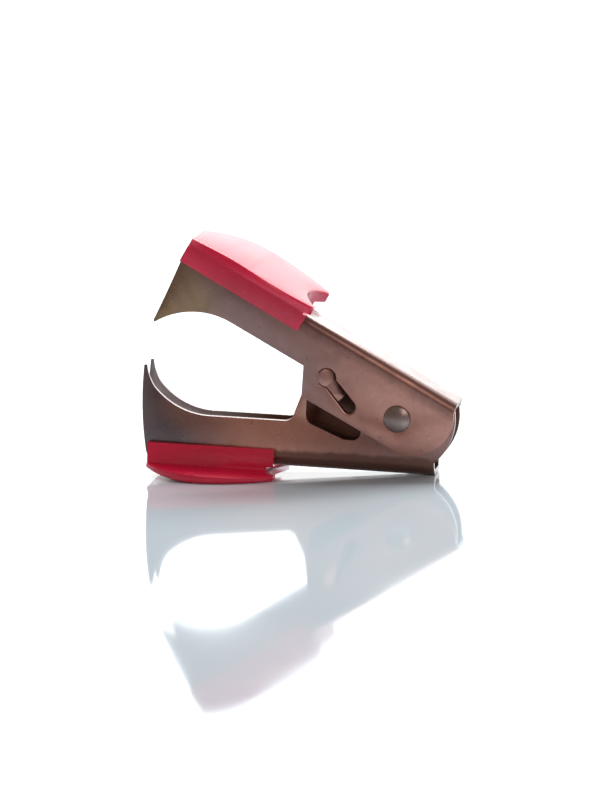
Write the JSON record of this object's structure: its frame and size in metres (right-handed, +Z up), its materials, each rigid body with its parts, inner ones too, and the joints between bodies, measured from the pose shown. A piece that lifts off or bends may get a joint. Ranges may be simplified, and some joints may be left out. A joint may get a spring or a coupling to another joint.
{
  "type": "staple remover",
  "caption": "Claw staple remover: two channel jaws with curved fangs on a rivet, opened by a torsion spring, with a leaf-shaped plastic finger pad on each jaw.",
  "frame": {"origin": "centre of the footprint, on the surface that the tool stands on", "axes": "+X from the fangs to the pivot, along the longest side; +Y along the rivet; +Z up"},
  "size_m": [0.0572, 0.0258, 0.0433],
  "materials": {
    "jaw_steel": "bright nickel plate, lightly brushed",
    "red_plastic": "glossy moulded plastic",
    "rivet_steel": "satin",
    "spring_steel": "drawn wire"
  },
  "bodies": {
    "lower_body": {"lower_jaw": "jaw_steel", "lower_grip": "red_plastic", "pivot_rivet": "rivet_steel", "torsion_spring": "spring_steel"},
    "upper_body": {"upper_jaw": "jaw_steel", "upper_grip": "red_plastic"}
  },
  "joints": [
    {"name": "jaw_close", "type": "hinge", "parent": "lower_body", "child": "upper_body", "pos_m": [0.01781, 0, 0.0106], "axis": [0, -1, 0], "range_deg": [0, 25.5], "stiffness_Nm_per_rad": 0.29, "springref_deg": -23.49, "deforming": ["torsion_spring"]}
  ]
}
